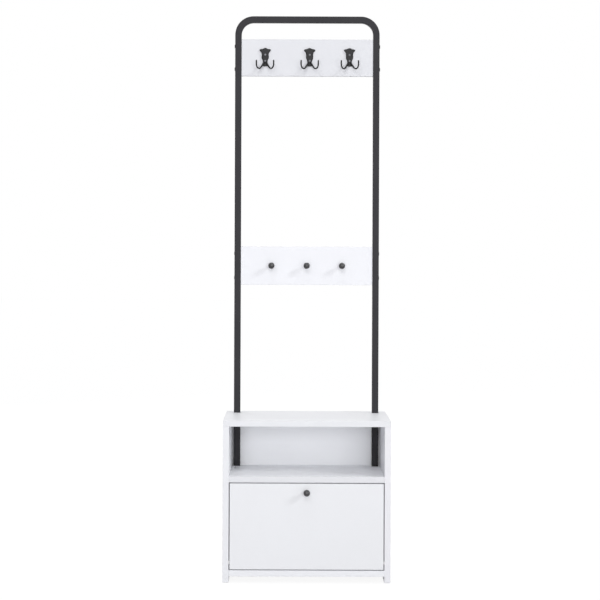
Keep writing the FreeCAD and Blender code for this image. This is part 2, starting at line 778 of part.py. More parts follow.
def bin_boards():
    across = "-bin_inside / 2"
    low = "pivot_high + bin_low"
    floor = panel("bin_floor", "XY_Plane", "bin_inside", "bin_depth", "bin_board",
                  across, "front + board", low)
    back = panel("bin_back", "XZ_Plane", "bin_inside", "bin_back_height - bin_board", "bin_board",
                 across, "pivot_back + bin_rear - bin_board", f"{low} + bin_board")
    depth = "bin_screw_length - bin_board + bin_screw_head_height"
    floor_holes = [(f"{y} - door_rear", "bin_board / 2") for y, _ in BIN_SCREWS[:2]]
    back_holes = [("bin_board / 2", "bin_screw_inset")]
    for board, holes in ((floor, floor_holes), (back, back_holes)):
        drill(board, "YZ_Plane", holes, "bin_screw + hole_play", depth, backwards=True)
        drill(board, "YZ_Plane", holes, "bin_screw + hole_play", depth, "bin_inside")


def corner_brackets():
    """Small angles that hold the door to the cheeks, and their screws."""
    inner = "-bin_inside / 2"
    rear = "front + board"
    brackets = []
    screws = []
    for z in BRACKETS:
        middle = f"pivot_high + {z}"
        low = f"{middle} - bracket_width / 2"
        legs = fused([box(inner, rear, low, "bracket_leg", "bracket_sheet", "bracket_width"),
                      box(inner, rear, low, "bracket_sheet", "bracket_leg", "bracket_width")])
        on_door = (f"{inner} + bracket_leg / 2 + bracket_sheet", f"{rear} + bracket_sheet", middle)
        on_cheek = (f"{inner} + bracket_sheet", f"{rear} + bracket_leg / 2 + bracket_sheet", middle)
        holes = [rod(way, at, "small_screw + hole_play", "2 * bracket_sheet")
                 for way, at in (("-Y", on_door), ("-X", on_cheek))]
        brackets.append(cut(legs, fused(holes)))
        screws += [screw(way, at, "small_screw", "small_screw_length", "small_screw_head",
                         "small_screw_head_height") for way, at in (("-Y", on_door), ("-X", on_cheek))]
    group("corner_brackets", both_sides(brackets))
    group("bracket_screws", both_sides(screws))


def bin_screws():
    head = "bin_screw_head_height"
    left = [screw("+X", (f"-door_width / 2 + {head}", f"pivot_back + {y}", f"pivot_high + {z}"), "bin_screw",
                  f"bin_screw_length - {head}", "bin_screw_head", head) for y, z in BIN_SCREWS]
    group("bin_screws", both_sides(left))


def pivots():
    """A pin in each end of the door turns in a flanged bush in the side; a second pin there stops the bin."""
    at = ("-side_inner", "pivot_back", "pivot_high")
    pin_start = ("-side_inner - bush_length + slot_play", "pivot_back", "pivot_high")
    pair("pivot_pin", rod("+X", pin_start, "pivot_pin", "bush_length - slot_play + door_gap + pin_bite"))
    bush = fused([rod("-X", at, "bush_width", "bush_length"),
                  rod("+X", at, "bush_flange", "bush_flange_height")])
    bore = rod("+X", ("-side_inner - 2 * bush_length", "pivot_back", "pivot_high"),
               "pivot_pin + 2 * running_play", "4 * bush_length")
    pair("pivot_bush", cut(bush, bore))
    stop = ("-side_inner - stop_bite", "pivot_back + stop_back", "pivot_high + stop_high")
    pair("stop_pin", rod("+X", stop, "stop_pin", "stop_bite + door_gap + bin_board"))


# ---- fasteners

def cam_fittings():
    """Cam locks in the sides draw down on bolts in the top; dowels beside them keep the top in line."""
    cams = []
    bolts = []
    middle = "-side_inner - board / 2"
    for y in ("front + cam_front", "front + cam_rear"):
        body = rod("-X", ("-side_inner", y, "cam_high"), "cam_width", "cam_depth - hole_play")
        channel = rod("-Z", (middle, y, "cam_high + cam_width"), "cam_channel", "cam_width + cam_channel / 2")
        slot = box("-side_inner - cam_slot_depth", f"{y} - cam_slot_length / 2",
                   "cam_high - cam_slot_width / 2", "2 * cam_slot_depth", "cam_slot_length", "cam_slot_width")
        cams.append(cut(body, fused([channel, slot])))
        head_low = (middle, y, "cam_high - cam_channel / 2 + cam_head_play")
        bolts.append(fused([rod("-Z", (middle, y, "top_under + cam_bolt_bite"), "cam_bolt",
                                "cam_bolt_bite + cam_drop"),
                            rod("+Z", head_low, "cam_channel - cam_head_play", "cam_channel / 2")]))
    group("cam_locks", both_sides(cams))
    group("cam_bolts", both_sides(bolts))
    dowels = [rod("-Z", (middle, f"front + {y}", "top_under + dowel_bite"), "dowel", "2 * dowel_bite")
              for y in ("dowel_front", "dowel_rear")]
    group("dowels", both_sides(dowels))


def connector_screws():
    left = []
    for z in ("shelf_top - board / 2", "base_top - board / 2"):
        for y in ("front + connector_front", "front + connector_rear"):
            at = ("-cabinet_width / 2 + connector_head_height", y, z)
            shank = screw("+X", at, "connector_shank", "board - connector_head_height", "connector_head",
                          "connector_head_height")
            thread = rod("+X", ("-side_inner", y, z), "connector_thread", "connector_bite")
            left.append(fused([shank, thread]))
    group("connector_screws", both_sides(left))


def back_fasteners():
    behind = "tube_back + back_board"
    nails = [screw("-Y", (f"{n} * nail_spacing", behind, z), "nail", "nail_length", "nail_head",
                   "nail_head_height") for n in (-1, 0, 1) for z in ("base_top - board / 2",
                                                                     "shelf_top - board / 2")]
    group("back_nails", nails)
    screws = [screw("-Y", ("-tube_side", behind, f"shelf_top + {z}"), "upright_screw", "upright_screw_length",
                    "upright_screw_head", "upright_screw_head_height")
              for z in ("upright_screw_low", "upright_screw_high")]
    group("upright_screws", both_sides(screws))


def floor_glides():
    across = "-side_inner - board / 2"
    left = [fused([rod("+Z", (across, y, "0"), "glide_width", "glide_height"),
                   rod("+Z", (across, y, "glide_height"), "nail", "nail_length")])
            for y in ("front + glide_inset", "back - glide_inset")]
    group("floor_glides", both_sides(left))


def wall_bracket():
    """An angle under the top's rear edge, for a screw into the wall that keeps the tree from tipping."""
    low = "top_under - anchor_sheet"
    across = "-anchor_width / 2"
    legs = fused([box(across, "back - anchor_leg", low, "anchor_width", "anchor_leg", "anchor_sheet"),
                  box(across, "back - anchor_sheet", "top_under - anchor_leg", "anchor_width",
                      "anchor_sheet", "anchor_leg")])
    wall_hole = rod("+Y", ("0", "back - 2 * anchor_sheet", "top_under - anchor_leg / 2"), "anchor_hole",
                    "3 * anchor_sheet")
    places = [(f"{side} anchor_screw_spacing / 2", "anchor_screw_back", low) for side in ("-", "")]
    holes = [rod("+Z", at, "small_screw + hole_play", "2 * anchor_sheet") for at in places]
    node("wall_bracket", cut(legs, fused([wall_hole] + holes)))
    group("wall_bracket_screws", [screw("+Z", at, "small_screw", "small_screw_length", "small_screw_head",
                                        "small_screw_head_height") for at in places])


def board_fasteners():
    rows = {"upper_board_bolts": ("upper_bolt_low", "upper_bolt_high", "bolt_head_height"),
            "lower_board_bolts": ("lower_bolt_low", "lower_bolt_high", "low_head_height")}
    inserts = []
    for label, (low, high, head_height) in rows.items():
        bolts = []
        for z in (low, high):
            outside = ("-frame_width / 2", "tube_middle", z)
            bolts.append(screw("+X", outside, "board_bolt", "tube + bolt_reach", "bolt_head_width",
                               head_height))
            at = ("-rack_length / 2", "tube_middle", z)
            inserts.append(cut(rod("+X", at, "insert_width", "insert_length"),
                               rod("+X", at, "board_bolt + hole_play", "2 * insert_length")))
        group(label, both_sides(bolts))
    group("board_inserts", both_sides(inserts))


def small_fasteners():
    hook_places = [(x, "rack_front - hook_plate", f"hook_low + {z}")
                   for x in HOOKS.values() for z in HOOK_SCREWS]
    group("hook_screws", [screw("+Y", at, "hook_screw", "hook_screw_length", "hook_screw_head",
                                "hook_screw_head_height") for at in hook_places])
    peg_places = [(x, "rack_front + rack_board", "lower_board_middle") for x in PEGS.values()]
    group("peg_screws", [screw("-Y", at, "knob_screw", "rack_board + knob_screw_bite", "knob_screw_head",
                               "knob_screw_head_height") for at in peg_places])
    node("knob_screw", screw("-Y", ("0", "front + board", "knob_high"), "knob_screw",
                             "board + knob_screw_bite", "knob_screw_head", "knob_screw_head_height"))


def check_document():
    """Stops on any failed object, any cut that removed nothing, and any sub-part that isn't a sound solid."""
    for thing in doc.Objects:
        if "Invalid" in thing.State or "Error" in thing.State:
            raise RuntimeError(f"{thing.Name} ({thing.Label}) failed: {thing.State}")
        if thing.TypeId == "PartDesign::Pocket" and thing.Shape.Volume > thing.BaseFeature.Shape.Volume - 0.1:
            raise RuntimeError(f"{thing.Name} cut nothing")
    for label, thing in nodes.items():
        if thing.Shape.isNull() or not thing.Shape.isValid() or not thing.Shape.Solids:
            raise RuntimeError(f"{label} isn't a valid solid")


top_panel()
pair("side", side_panel())
cross_board("shelf", "shelf_under")
cross_board("bottom_panel", "toe_clearance")
back_panel()
upper_frame()
pair("lower_upright", lower_upright())
pair("joint_sleeve", joint_sleeve())
pair("upright_plug", upright_plug())
hook_holes = [(x, f"hook_low + {z}") for x in HOOKS.values() for z in HOOK_SCREWS]
rack_board("upper_board", "upper_board_low", "upper_board_height", ("upper_bolt_low", "upper_bolt_high"),
           hook_holes, "hook_screw + hole_play", "hook_screw_length - hook_plate + hole_play")
rack_board("lower_board", "lower_board_low", "lower_board_height", ("lower_bolt_low", "lower_bolt_high"),
           [(x, "lower_board_middle") for x in PEGS.values()], "knob_screw + hole_play")
for side, x in HOOKS.items():
    hook(f"{side}_hook", x)
for side, x in PEGS.items():
    knob(f"{side}_peg", x, "rack_front", "lower_board_middle")
door_panel()
knob("door_knob", "0", "front", "knob_high")
cheek = bin_cheek()
node("bin_right_cheek", mirror_copy(cheek))
bin_boards()
corner_brackets()
bin_screws()
pivots()
cam_fittings()
connector_screws()
back_fasteners()
floor_glides()
wall_bracket()
board_fasteners()
small_fasteners()
doc.recompute()
check_document()

os.makedirs("parts", exist_ok=True)
for label, thing in nodes.items():
    thing.Shape.exportStep(f"parts/{label}.step")
print(len(nodes), "nodes,", sum(len(thing.Shape.Solids) for thing in nodes.values()), "solids")
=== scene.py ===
import bmesh
import bpy
import json
import math
from mathutils import Matrix, Vector


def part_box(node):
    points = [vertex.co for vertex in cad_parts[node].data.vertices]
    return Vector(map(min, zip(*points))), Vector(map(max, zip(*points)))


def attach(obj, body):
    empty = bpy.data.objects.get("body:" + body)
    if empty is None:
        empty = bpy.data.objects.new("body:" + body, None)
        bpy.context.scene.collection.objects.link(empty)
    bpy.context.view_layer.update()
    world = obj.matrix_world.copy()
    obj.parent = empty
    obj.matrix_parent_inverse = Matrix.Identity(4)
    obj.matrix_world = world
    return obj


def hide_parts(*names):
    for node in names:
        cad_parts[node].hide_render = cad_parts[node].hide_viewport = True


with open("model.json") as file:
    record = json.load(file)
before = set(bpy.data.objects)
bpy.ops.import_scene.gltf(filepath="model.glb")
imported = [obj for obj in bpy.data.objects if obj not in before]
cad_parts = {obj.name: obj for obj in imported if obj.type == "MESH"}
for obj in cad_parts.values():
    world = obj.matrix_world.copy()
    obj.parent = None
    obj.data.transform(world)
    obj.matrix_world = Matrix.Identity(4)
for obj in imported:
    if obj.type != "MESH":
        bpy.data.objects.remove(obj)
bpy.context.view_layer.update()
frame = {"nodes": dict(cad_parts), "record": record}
nodes = frame["nodes"]
mm = 0.001
mergeGap = {"fine": 1e-7, "new": 1e-6, "cad": 1e-5}  # points nearer than this are one


def newGroup(name, inputs, outputs):
    group = bpy.data.node_groups.new(name, "ShaderNodeTree")
    for label, kind, value in inputs:
        socket = group.interface.new_socket(label, in_out="INPUT", socket_type=kind)
        if value is not None:
            socket.default_value = value
    for label, kind in outputs:
        group.interface.new_socket(label, in_out="OUTPUT", socket_type=kind)
    return group, group.nodes.new("NodeGroupInput"), group.nodes.new("NodeGroupOutput")


def addNode(tree, kind, settings=None, **values):
    made = tree.nodes.new(kind)
    for name, value in (settings or {}).items():
        setattr(made, name, value)
    for name, value in values.items():
        made.inputs[name.replace("_", " ")].default_value = value
    return made


def feed(tree, value, socket):
    if isinstance(value, (int, float)):
        socket.default_value = value
    else:
        tree.links.new(value, socket)


def calc(tree, operation, first, second=None, clamp=False):
    made = tree.nodes.new("ShaderNodeMath")
    made.operation = operation
    made.use_clamp = clamp
    feed(tree, first, made.inputs[0])
    if second is not None:
        feed(tree, second, made.inputs[1])
    return made.outputs[0]


def noise(tree, vector, scale, detail=2.0, roughness=0.5):
    made = addNode(tree, "ShaderNodeTexNoise", Detail=detail, Roughness=roughness)
    tree.links.new(vector, made.inputs["Vector"])
    feed(tree, scale, made.inputs["Scale"])
    return made.outputs["Fac"]


patches = {"slowDetail": 3.0, "slowRoughness": 0.55, "slowShare": 0.7, "fineScale": 23.0, "fineShare": 0.3,
           "middle": 0.5}


def mottleGroup():
    # a slow change of tone and of gloss, with a finer one on top
    group, inp, out = newGroup("mottle", (("Vector", "NodeSocketVector", None),
                                          ("Light", "NodeSocketColor", (1, 1, 1, 1)),
                                          ("Dark", "NodeSocketColor", (0.9, 0.9, 0.9, 1)),
                                          ("Size", "NodeSocketFloat", 6.0),
                                          ("Gloss", "NodeSocketFloat", 0.4),
                                          ("Gloss Change", "NodeSocketFloat", 0.06)),
                               (("Color", "NodeSocketColor"), ("Roughness", "NodeSocketFloat")))
    slow = noise(group, inp.outputs["Vector"], inp.outputs["Size"], patches["slowDetail"],
                 patches["slowRoughness"])
    fine = noise(group, inp.outputs["Vector"],
                 calc(group, "MULTIPLY", inp.outputs["Size"], patches["fineScale"]))
    both = calc(group, "ADD", calc(group, "MULTIPLY", slow, patches["slowShare"]),
                calc(group, "MULTIPLY", fine, patches["fineShare"]))
    mix = addNode(group, "ShaderNodeMix", {"data_type": "RGBA"})
    group.links.new(both, mix.inputs["Factor"])
    group.links.new(inp.outputs["Light"], mix.inputs[6])
    group.links.new(inp.outputs["Dark"], mix.inputs[7])
    group.links.new(mix.outputs[2], out.inputs["Color"])
    swing = calc(group, "MULTIPLY", calc(group, "SUBTRACT", both, patches["middle"]),
                 inp.outputs["Gloss Change"])
    group.links.new(calc(group, "ADD", inp.outputs["Gloss"], swing), out.inputs["Roughness"])
    return group


def bandSeamGroup():
    # the hairline where a board's face foil meets its edge band, and the band itself out to the edge
    group, inp, out = newGroup("bandSeam", (("Vector", "NodeSocketVector", None),
                                            ("Low", "NodeSocketVector", None),
                                            ("High", "NodeSocketVector", None),
                                            ("Band", "NodeSocketFloat", 0.0011),
                                            ("Line", "NodeSocketFloat", 0.00012)),
                               (("Seam", "NodeSocketFloat"), ("Edge", "NodeSocketFloat")))
    parts = {}
    for label in ("Vector", "Low", "High"):
        split = group.nodes.new("ShaderNodeSeparateXYZ")
        group.links.new(inp.outputs[label], split.inputs[0])
        parts[label] = split
    seam = edge = None
    for axis in range(3):
        inLow = calc(group, "SUBTRACT", parts["Vector"].outputs[axis], parts["Low"].outputs[axis])
        inHigh = calc(group, "SUBTRACT", parts["High"].outputs[axis], parts["Vector"].outputs[axis])
        inside = calc(group, "MINIMUM", inLow, inHigh)
        off = calc(group, "ABSOLUTE", calc(group, "SUBTRACT", inside, inp.outputs["Band"]))
        line = calc(group, "SUBTRACT", 1.0, calc(group, "DIVIDE", off, inp.outputs["Line"]), clamp=True)
        near = calc(group, "LESS_THAN", inside, inp.outputs["Band"])
        seam = line if seam is None else calc(group, "MAXIMUM", seam, line)
        edge = near if edge is None else calc(group, "MAXIMUM", edge, near)
    group.links.new(seam, out.inputs["Seam"])
    group.links.new(edge, out.inputs["Edge"])
    return group


rubbing = {"sharpFrom": 0.52, "sharpGain": 9.0, "detail": 4.0, "roughness": 0.65, "patchFrom": 0.42,
           "patchGain": 4.0}


def edgeRubGroup():
    # rubbed spots on convex edges, broken up by noise
    group, inp, out = newGroup("edgeRub", (("Vector", "NodeSocketVector", None),
                                           ("Size", "NodeSocketFloat", 120.0),
                                           ("Amount", "NodeSocketFloat", 0.5)),
                               (("Mask", "NodeSocketFloat"),))
    shape = group.nodes.new("ShaderNodeNewGeometry")
    raised = calc(group, "MULTIPLY", calc(group, "SUBTRACT", shape.outputs["Pointiness"], rubbing["sharpFrom"]),
                  rubbing["sharpGain"], clamp=True)
    patch = noise(group, inp.outputs["Vector"], inp.outputs["Size"], rubbing["detail"], rubbing["roughness"])
    patch = calc(group, "MULTIPLY", calc(group, "SUBTRACT", patch, rubbing["patchFrom"]),
                 rubbing["patchGain"], clamp=True)
    group.links.new(calc(group, "MULTIPLY", calc(group, "MULTIPLY", raised, patch), inp.outputs["Amount"]),
                    out.inputs["Mask"])
    return group


mottle = mottleGroup()
bandSeam = bandSeamGroup()
edgeRub = edgeRubGroup()
print("shader groups made")


def tone(red, green, blue):
    # a colour given as on a screen, 0 to 255, made linear
    def linear(part):
        part /= 255
        return part / 12.92 if part <= 0.04045 else ((part + 0.055) / 1.055) ** 2.4
    return (linear(red), linear(green), linear(blue), 1)


def startFinish(name, settings):
    material = bpy.data.materials.new(name)
    material.use_nodes = True
    tree = material.node_tree
    shader = tree.nodes["Principled BSDF"]
    for socket, value in settings["shader"].items():
        shader.inputs[socket].default_value = value
    where = tree.nodes.new("ShaderNodeTexCoord").outputs["Object"]
    spots = addNode(tree, "ShaderNodeGroup", {"node_tree": mottle})
    tree.links.new(where, spots.inputs["Vector"])
    for socket in ("Light", "Dark", "Size", "Gloss", "Gloss Change"):
        spots.inputs[socket].default_value = settings[socket]
    tree.links.new(spots.outputs["Color"], shader.inputs["Base Color"])
    tree.links.new(spots.outputs["Roughness"], shader.inputs["Roughness"])
    return material, tree, shader, where, spots


def addGrain(tree, shader, where, grains, extra=None):
    # bump from layers of noise, (scale, weight, detail), to a depth in metres
    height = extra
    for scale, weight, detail in grains["layers"]:
        layer = calc(tree, "MULTIPLY", noise(tree, where, scale, detail), weight)
        height = layer if height is None else calc(tree, "ADD", height, layer)
    bump = addNode(tree, "ShaderNodeBump", Strength=grains["strength"], Distance=grains["depth"])
    tree.links.new(height, bump.inputs["Height"])
    tree.links.new(bump.outputs["Normal"], shader.inputs["Normal"])


def mixColour(tree, base, colour, mask):
    mix = addNode(tree, "ShaderNodeMix", {"data_type": "RGBA"})
    tree.links.new(base, mix.inputs[6])
    mix.inputs[7].default_value = colour
    tree.links.new(mask, mix.inputs["Factor"])
    return mix.outputs[2]


laminate = {
    "shader": {"IOR": 1.5, "Specular IOR Level": 0.4},
    "Dark": tone(234, 235, 239), "Light": tone(241, 242, 246), "Size": 5.0,
    "Gloss": 0.42, "Gloss Change": 0.12,
    "grain": {"layers": ((700.0, 0.6, 2.0), (2600.0, 0.4, 1.0)), "strength": 0.25, "depth": 0.00006},
    "seamTone": tone(176, 177, 181), "seamShare": 0.8, "groove": -1.5, "farAway": 10.0,
}


def boardFinish(name, node, thin, light, dark, band):
    # foil-faced board with edge bands; thin is the axis through its thickness, which has no band
    settings = dict(laminate, Light=light, Dark=dark)
    material, tree, shader, where, spots = startFinish(name, settings)
    low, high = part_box(node)
    low[thin], high[thin] = -laminate["farAway"], laminate["farAway"]
    seam = addNode(tree, "ShaderNodeGroup", {"node_tree": bandSeam})
    seam.inputs["Low"].default_value = low
    seam.inputs["High"].default_value = high
    tree.links.new(where, seam.inputs["Vector"])
    banded = mixColour(tree, spots.outputs["Color"], band, seam.outputs["Edge"])
    seamMask = calc(tree, "MULTIPLY", seam.outputs["Seam"], laminate["seamShare"])
    tree.links.new(mixColour(tree, banded, laminate["seamTone"], seamMask), shader.inputs["Base Color"])
    addGrain(tree, shader, where, laminate["grain"],
             calc(tree, "MULTIPLY", seam.outputs["Seam"], laminate["groove"]))
    return material


def plainFinish(name, settings):
    material, tree, shader, where, spots = startFinish(name, settings)
    addGrain(tree, shader, where, settings["grain"])
    if "rub" in settings:
        rub = settings["rub"]
        worn = addNode(tree, "ShaderNodeGroup", {"node_tree": edgeRub}, Amount=rub["amount"], Size=rub["size"])
        tree.links.new(where, worn.inputs["Vector"])
        rubbed = mixColour(tree, spots.outputs["Color"], rub["tone"], worn.outputs["Mask"])
        tree.links.new(rubbed, shader.inputs["Base Color"])
    return material


powderCoat = {
    "shader": {"IOR": 1.5, "Specular IOR Level": 0.24},
    "Light": tone(37, 36, 41), "Dark": tone(29, 28, 32), "Size": 9.0, "Gloss": 0.5, "Gloss Change": 0.14,
    "grain": {"layers": ((1500.0, 0.7, 2.0), (4200.0, 0.3, 1.0)), "strength": 0.45, "depth": 0.00012},
}
castBlack = {
    "shader": {"IOR": 1.5, "Specular IOR Level": 0.22, "Coat Weight": 0.06, "Coat Roughness": 0.3},
    "Light": tone(20, 20, 23), "Dark": tone(13, 13, 15), "Size": 40.0, "Gloss": 0.38, "Gloss Change": 0.2,
    "grain": {"layers": ((900.0, 0.5, 3.0), (260.0, 0.5, 2.0)), "strength": 0.35, "depth": 0.00015},
    "rub": {"amount": 0.2, "size": 260.0, "tone": tone(84, 83, 88)},
}
glossBlack = {
    "shader": {"IOR": 1.5, "Specular IOR Level": 0.5, "Coat Weight": 0.4, "Coat Roughness": 0.12},
    "Light": tone(36, 35, 39), "Dark": tone(27, 26, 30), "Size": 60.0, "Gloss": 0.3, "Gloss Change": 0.12,
    "grain": {"layers": ((500.0, 1.0, 2.0),), "strength": 0.12, "depth": 0.00006},
}
zincPlate = {
    "shader": {"Metallic": 1.0, "Specular IOR Level": 0.5},
    "Light": tone(196, 197, 200), "Dark": tone(158, 160, 166), "Size": 90.0, "Gloss": 0.36, "Gloss Change": 0.3,
    "grain": {"layers": ((1800.0, 1.0, 3.0),), "strength": 0.25, "depth": 0.00004},
}
blackZinc = dict(zincPlate, Light=tone(108, 108, 112), Dark=tone(84, 84, 88))
whiteNylon = {
    "shader": {"IOR": 1.53, "Subsurface Weight": 0.06, "Subsurface Radius": (0.002, 0.002, 0.002)},
    "Light": tone(232, 231, 226), "Dark": tone(222, 221, 215), "Size": 40.0, "Gloss": 0.45, "Gloss Change": 0.1,
    "grain": {"layers": ((900.0, 1.0, 2.0),), "strength": 0.2, "depth": 0.00005},
}
blackPlastic = dict(powderCoat, Light=tone(40, 40, 42), Dark=tone(32, 32, 34), Gloss=0.42)
beech = {
    "shader": {"IOR": 1.45, "Specular IOR Level": 0.3},
    "Light": tone(214, 178, 134), "Dark": tone(186, 146, 102), "Size": 70.0, "Gloss": 0.62, "Gloss Change": 0.1,
    "grain": {"layers": ((420.0, 1.0, 4.0),), "strength": 0.4, "depth": 0.0001},
}
# the back panel's white is set near white, as painted light on the back wall of the dim niche
hardboard = dict(laminate, Light=tone(250, 251, 254), Dark=tone(246, 247, 250), Gloss=0.5,
                 grain={"layers": ((380.0, 0.6, 3.0), (1500.0, 0.4, 2.0)), "strength": 0.3, "depth": 0.00008})

finishes = {name: plainFinish(name, settings) for name, settings in (
    ("powderCoat", powderCoat), ("castBlack", castBlack), ("glossBlack", glossBlack), ("zincPlate", zincPlate),
    ("blackZinc", blackZinc), ("whiteNylon", whiteNylon), ("blackPlastic", blackPlastic), ("beech", beech),
    ("hardboard", hardboard))}


def paint(node, material):
    mesh = nodes[node].data
    mesh.materials.clear()
    mesh.materials.append(material)


# boards: thin axis, lighter and darker tone of the face foil, tone of the edge band. One white foil gets a
# different tone on each board as painted light and shade; the shelf is lightest, as painted light in the dim
# niche, and its edge band is darker, as painted shade on its lit front edge.
boards = {
    "top_panel": (2, (243, 244, 248), (238, 239, 243), (225, 226, 230)),
    "left_side": (0, (248, 249, 252), (243, 244, 247), (228, 229, 233)),
    "right_side": (0, (248, 248, 252), (243, 243, 247), (228, 228, 233)),
    "shelf": (2, (251, 252, 254), (248, 249, 252), (220, 221, 225)),
    "bottom_panel": (2, (231, 232, 236), (225, 226, 230), (231, 232, 236)),
    "upper_board": (1, (222, 223, 228), (217, 218, 223), (222, 223, 228)),
    "lower_board": (1, (236, 237, 242), (231, 232, 237), (236, 237, 242)),
    "door_panel": (1, (230, 231, 235), (226, 227, 230), (230, 231, 235)),
    "bin_left_cheek": (0, (238, 239, 243), (231, 232, 236), (232, 233, 237)),
    "bin_right_cheek": (0, (238, 239, 243), (231, 232, 236), (232, 233, 237)),
    "bin_floor": (2, (238, 239, 243), (231, 232, 236), (232, 233, 237)),
    "bin_back": (1, (238, 239, 243), (231, 232, 236), (232, 233, 237)),
}
for node, (thin, light, dark, band) in boards.items():
    paint(node, boardFinish(node + "_painted_light_foil", node, thin, tone(*light), tone(*dark), tone(*band)))

plainParts = {
    "hardboard": ("back_panel",),
    "powderCoat": ("upper_frame", "left_lower_upright", "right_lower_upright"),
    "blackPlastic": ("left_upright_plug", "right_upright_plug"),
    "whiteNylon": ("left_pivot_bush", "right_pivot_bush"),
    "zincPlate": ("left_joint_sleeve", "right_joint_sleeve", "left_pivot_pin", "right_pivot_pin",
                  "left_stop_pin", "right_stop_pin", "cam_bolts", "board_inserts", "knob_screw", "back_nails"),
    "beech": ("dowels",),
}
for finish, names in plainParts.items():
    for node in names:
        paint(node, finishes[finish])
print("finishes made")


def finishPiece(bm, name, body, replaced, material, smooth=True, subdivide=0):
    bmesh.ops.remove_doubles(bm, verts=bm.verts, dist=mergeGap["new"])
    bmesh.ops.recalc_face_normals(bm, faces=bm.faces)
    mesh = bpy.data.meshes.new(name)
    bm.to_mesh(mesh)
    bm.free()
    piece = bpy.data.objects.new(name, mesh)
    bpy.context.scene.collection.objects.link(piece)
    mesh.materials.append(material)
    for face in mesh.polygons:
        face.use_smooth = smooth
    if subdivide:
        rounder = piece.modifiers.new("rounder", "SUBSURF")
        rounder.levels = rounder.render_levels = subdivide
    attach(piece, body)
    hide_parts(replaced)
    return piece


def facing(direction):
    # turns +Z to an axis direction
    return Vector((0, 0, 1)).rotation_difference(Vector(direction)).to_matrix()


def islands(node):
    # the separate solids of a CAD node, each as its low and high corner
    bm = bmesh.new()
    bm.from_mesh(nodes[node].data)
    bmesh.ops.remove_doubles(bm, verts=bm.verts, dist=mergeGap["cad"])
    left = set(bm.verts)
    found = []
    while left:
        stack, group = [left.pop()], []
        while stack:
            vert = stack.pop()
            group.append(vert.co.copy())
            for edge in vert.link_edges:
                other = edge.other_vert(vert)
                if other in left:
                    left.discard(other)
                    stack.append(other)
        found.append((Vector([min(c[i] for c in group) for i in range(3)]),
                      Vector([max(c[i] for c in group) for i in range(3)])))
    bm.free()
    return sorted(found, key=lambda pair: tuple(round(c, 4) for c in pair[0]))


def ringOf(bm, radius, height, count):
    made = bmesh.ops.create_circle(bm, segments=count, radius=radius)
    bmesh.ops.translate(bm, verts=made["verts"], vec=(0, 0, height))
    return list({edge for vert in made["verts"] for edge in vert.link_edges})


def drawOut(bm, edges, lift, scale=1.0):
    # one more ring: extrudes the open loop, lifts it along Z and scales it across
    made = bmesh.ops.extrude_edge_only(bm, edges=edges)["geom"]
    verts = [g for g in made if isinstance(g, bmesh.types.BMVert)]
    bmesh.ops.translate(bm, verts=verts, vec=(0, 0, lift))
    bmesh.ops.scale(bm, verts=verts, vec=(scale, scale, 1))
    return [g for g in made if isinstance(g, bmesh.types.BMEdge)]


headShape = {"flat": 0.72, "crown": ((0.16, 1.2), (0.34, 1.12), (0.5, 1.033)), "sides": 24, "recessTaper": 0.8,
             "crossWidth": 0.28, "crossCorner": 0.9, "hexSides": 6, "hexCuts": 3, "shankSides": 16}


def crossOutline(bm, reach, height):
    # a square grid drawn in to a plus, with only its outline kept
    made = bmesh.ops.create_grid(bm, x_segments=3, y_segments=3, size=reach)
    arm = reach * headShape["crossWidth"]
    for vert in made["verts"]:
        for axis in (0, 1):
            if abs(vert.co[axis]) < reach * headShape["crossCorner"]:
                vert.co[axis] = math.copysign(arm, vert.co[axis])
    corners = [f for f in bm.faces if all(abs(c) > arm for c in f.calc_center_median()[:2])]
    bmesh.ops.delete(bm, geom=corners, context="FACES")
    bmesh.ops.delete(bm, geom=list(bm.faces), context="FACES_ONLY")
    inner = [e for e in bm.edges
             if all(abs(abs(c) - arm) < mergeGap["fine"] for v in e.verts for c in v.co[:2])]
    bmesh.ops.delete(bm, geom=inner, context="EDGES")
    bmesh.ops.translate(bm, verts=bm.verts, vec=(0, 0, height))
    bmesh.ops.subdivide_edges(bm, edges=list(bm.edges), cuts=1)


def screwHead(bm, at, direction, head):
    # a turned head with its seat at a point and its drive recess facing out along direction
    part = bmesh.new()
    radius, height = head["width"] / 2, head["height"]
    if head["drive"] == "hex":
        sides = ringOf(part, head["recess"], height, headShape["hexSides"])
        bmesh.ops.subdivide_edges(part, edges=sides, cuts=headShape["hexCuts"])
    else:
        crossOutline(part, head["recess"], height)
    recess = list(part.edges)
    wall = drawOut(part, recess, -head["deep"], headShape["recessTaper"])
    bmesh.ops.contextual_create(part, geom=wall)
    outer = ringOf(part, radius * headShape["flat"], height, headShape["sides"])
    bmesh.ops.bridge_loops(part, edges=recess + outer)
    for drop, growth in headShape["crown"]:
        outer = drawOut(part, outer, -height * drop, growth)
    bmesh.ops.contextual_create(part, geom=outer)
    bmesh.ops.remove_doubles(part, verts=part.verts, dist=mergeGap["fine"])
    bmesh.ops.rotate(part, verts=part.verts, matrix=facing(direction))
    bmesh.ops.translate(part, verts=part.verts, vec=at)
    joinInto(bm, part)


def joinInto(bm, part):
    spare = bpy.data.meshes.new("spare")
    part.to_mesh(spare)
    part.free()
    bm.from_mesh(spare)
    bpy.data.meshes.remove(spare)


def shankBar(bm, start, direction, width, length):
    part = bmesh.new()
    bmesh.ops.create_cone(part, cap_ends=True, segments=headShape["shankSides"], radius1=width / 2,
                          radius2=width / 2, depth=length)
    bmesh.ops.translate(part, verts=part.verts, vec=(0, 0, length / 2))
    bmesh.ops.rotate(part, verts=part.verts, matrix=facing(direction))
    bmesh.ops.translate(part, verts=part.verts, vec=start)
    joinInto(bm, part)


